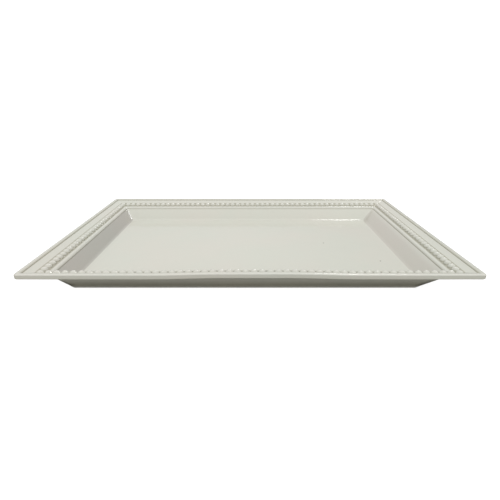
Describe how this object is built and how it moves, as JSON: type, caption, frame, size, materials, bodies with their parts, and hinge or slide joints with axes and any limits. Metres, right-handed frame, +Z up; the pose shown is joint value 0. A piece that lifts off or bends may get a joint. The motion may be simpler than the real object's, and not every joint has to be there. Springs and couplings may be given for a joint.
{
  "type": "serving platter",
  "caption": "Rectangular glazed china serving platter with a flat well, sloping walls, a broad rim with a beaded border and rounded lip, and a low foot ring.",
  "frame": {"origin": "centre of the platter's footprint, on the surface that it stands on", "axes": "+X along the length, -Y to the front long side, +Z up"},
  "size_m": [0.356, 0.231, 0.0284],
  "materials": {
    "glaze": "glossy warm white glaze",
    "bare_foot": "glazed sides with a dry, unglazed contact band"
  },
  "bodies": {
    "root": {"platter_body": "glaze", "foot_ring": "bare_foot", "rim_edge_lip": "glaze", "bead_ridge": "glaze", "bead_row_front": "glaze", "bead_row_back": "glaze", "bead_row_left": "glaze", "bead_row_right": "glaze"}
  },
  "joints": []
}
